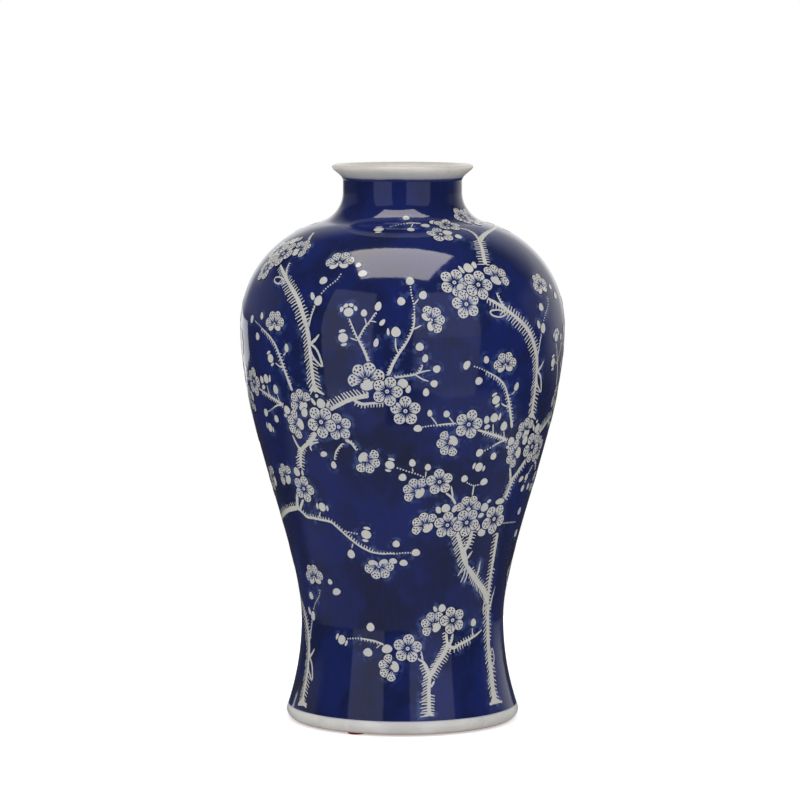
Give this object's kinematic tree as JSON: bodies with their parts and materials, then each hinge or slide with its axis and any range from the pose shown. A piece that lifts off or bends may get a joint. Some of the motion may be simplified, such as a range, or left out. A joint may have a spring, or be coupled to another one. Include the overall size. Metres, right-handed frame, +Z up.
{
  "type": "meiping vase",
  "caption": "Tall glazed porcelain baluster vase with a round shoulder, short neck and flared lip and foot, in cobalt blue with white prunus blossom, for holding branches or flowers.",
  "frame": {"origin": "on the axis of the vase, at the surface that it stands on", "axes": "+Z up along the axis of the vase, towards the mouth; -Y faces the viewer of the picture"},
  "size_m": [0.2038, 0.2038, 0.3501],
  "materials": {
    "blue_glaze": "cobalt wash under a clear gloss glaze",
    "white_glaze": "clear gloss glaze on white porcelain",
    "porcelain_slip": "fired slip",
    "red_felt": "felt"
  },
  "bodies": {
    "root": {"foot_ring": "white_glaze", "lower_body": "blue_glaze", "upper_body": "blue_glaze", "shoulder": "blue_glaze", "neck": "blue_glaze", "mouth_rim": "white_glaze", "foot_seam_slip": "porcelain_slip", "body_seam_slip": "porcelain_slip", "belly_seam_slip": "porcelain_slip", "neck_seam_slip": "porcelain_slip", "rim_seam_slip": "porcelain_slip", "felt_pad_1": "red_felt", "felt_pad_2": "red_felt", "felt_pad_3": "red_felt"}
  },
  "joints": []
}
